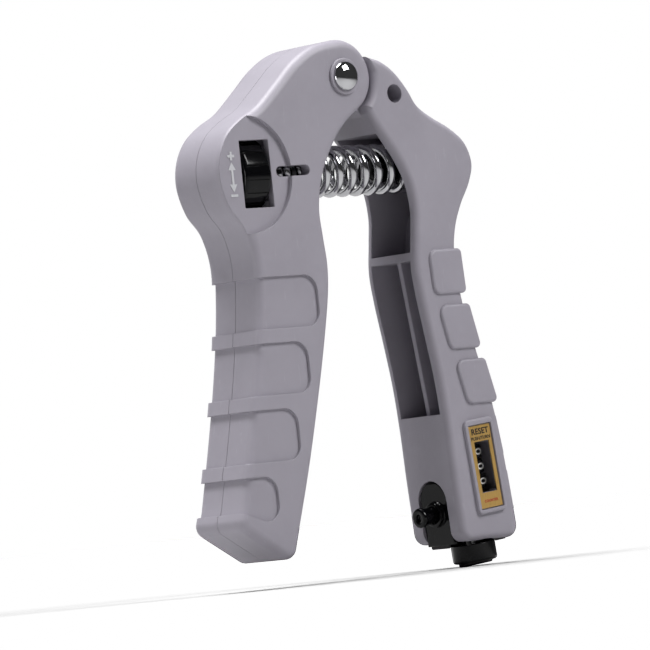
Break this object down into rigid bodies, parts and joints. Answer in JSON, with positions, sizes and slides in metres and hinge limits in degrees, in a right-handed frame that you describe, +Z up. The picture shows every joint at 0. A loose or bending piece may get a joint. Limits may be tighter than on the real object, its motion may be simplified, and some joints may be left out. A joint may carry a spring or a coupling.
{
  "type": "hand grip exerciser",
  "caption": "Hand grip exerciser: pivoted plastic handles, a compression spring set by a thumb wheel, and a small counter with a plunger and reset knob",
  "frame": {"origin": "centre of the bounding box in x and y, at its lowest point in z", "axes": "+Z is up with the hinge at the top, +X runs from the adjuster handle to the counter handle, +Y points away from the face with the wheel and the window"},
  "size_m": [0.0998, 0.028, 0.149],
  "materials": {
    "grey_plastic": "satin moulded plastic",
    "black_plastic": "glossy black moulding",
    "dark_plastic": "matt dark moulding",
    "chrome": "bright plating",
    "steel": "turned steel",
    "brass": "plain brass",
    "gold_foil": "thin satin gold foil"
  },
  "bodies": {
    "counter_grip": {"counter_handle": "grey_plastic", "hinge_bush": "brass", "spring_seat": "black_plastic", "compression_spring": "chrome", "label_plate": "gold_foil", "drum_shaft": "steel", "pinion_axle": "steel", "counter_frame": "dark_plastic", "plunger_guide": "black_plastic", "plunger_spring": "chrome", "counter_end_cap": "black_plastic"},
    "adjuster_grip": {"adjuster_handle_front": "grey_plastic", "adjuster_handle_back": "grey_plastic", "shell_screw_1": "steel", "shell_screw_2": "steel", "shell_screw_3": "steel", "hinge_rivet": "chrome", "rivet_washer": "steel"},
    "wheel": {"adjuster_wheel": "black_plastic", "threaded_spindle": "steel"},
    "pusher": {"spring_pusher": "black_plastic"},
    "units_wheel": {"digit_wheel_units": "black_plastic", "drive_ratchet": "brass"},
    "tens_wheel": {"digit_wheel_tens": "black_plastic"},
    "hundreds_wheel": {"digit_wheel_hundreds": "black_plastic"},
    "tens_pinion": {"transfer_pinion_tens": "brass"},
    "hundreds_pinion": {"transfer_pinion_hundreds": "brass"},
    "plunger": {"plunger": "black_plastic"},
    "reset_slider": {"reset_stem": "steel"},
    "reset_turner": {"reset_knob": "black_plastic"}
  },
  "joints": [
    {"name": "squeeze_hinge", "type": "hinge", "parent": "counter_grip", "child": "adjuster_grip", "pos_m": [0.00193, 0, 0.13855], "axis": [0, -1, 0], "range_deg": [0, 22], "stiffness_Nm_per_rad": 8, "springref_deg": -8.59, "deforming": ["compression_spring"]},
    {"name": "wheel_spin", "type": "hinge", "parent": "adjuster_grip", "child": "wheel", "pos_m": [-0.03162, 0, 0.11325], "axis": [1, 0, 0], "range_deg": [0, 1440]},
    {"name": "pusher_slide", "type": "slide", "parent": "adjuster_grip", "child": "pusher", "axis": [1, 0, 0], "range_m": [0, 0.0084], "deforming": ["compression_spring"]},
    {"name": "plunger_push", "type": "slide", "parent": "counter_grip", "child": "plunger", "axis": [0.9962, 0, 0.0872], "range_m": [0, 0.0025], "stiffness_N_per_m": 400, "springref_m": -0.0015, "deforming": ["plunger_spring"]},
    {"name": "units_spin", "type": "hinge", "parent": "counter_grip", "child": "units_wheel", "pos_m": [0.03783, -0.0034, 0.02741], "axis": [-0.0872, 0, 0.9962], "continuous": true},
    {"name": "tens_spin", "type": "hinge", "parent": "counter_grip", "child": "tens_wheel", "pos_m": [0.03783, -0.0034, 0.02741], "axis": [-0.0872, 0, 0.9962], "continuous": true},
    {"name": "hundreds_spin", "type": "hinge", "parent": "counter_grip", "child": "hundreds_wheel", "pos_m": [0.03783, -0.0034, 0.02741], "axis": [-0.0872, 0, 0.9962], "continuous": true},
    {"name": "tens_pinion_spin", "type": "hinge", "parent": "counter_grip", "child": "tens_pinion", "pos_m": [0.03783, 0.0041, 0.02741], "axis": [-0.0872, 0, 0.9962], "continuous": true},
    {"name": "hundreds_pinion_spin", "type": "hinge", "parent": "counter_grip", "child": "hundreds_pinion", "pos_m": [0.03783, 0.0041, 0.02741], "axis": [-0.0872, 0, 0.9962], "continuous": true},
    {"name": "reset_push", "type": "slide", "parent": "counter_grip", "child": "reset_slider", "axis": [-0.0872, 0, 0.9962], "range_m": [0, 0.0008], "stiffness_N_per_m": 300, "springref_m": -0.0008},
    {"name": "reset_turn", "type": "hinge", "parent": "reset_slider", "child": "reset_turner", "pos_m": [0.03584, -0.0034, 0.02723], "axis": [-0.0872, 0, 0.9962], "continuous": true}
  ],
  "couplings": [
    {"joint": "wheel_spin", "follows": "pusher_slide", "rad_per_m": 2992},
    {"joint": "tens_spin", "follows": "units_spin", "ratio": 0.1},
    {"joint": "hundreds_spin", "follows": "units_spin", "ratio": 0.01},
    {"joint": "tens_pinion_spin", "follows": "units_spin", "ratio": -0.25},
    {"joint": "hundreds_pinion_spin", "follows": "units_spin", "ratio": -0.025}
  ]
}
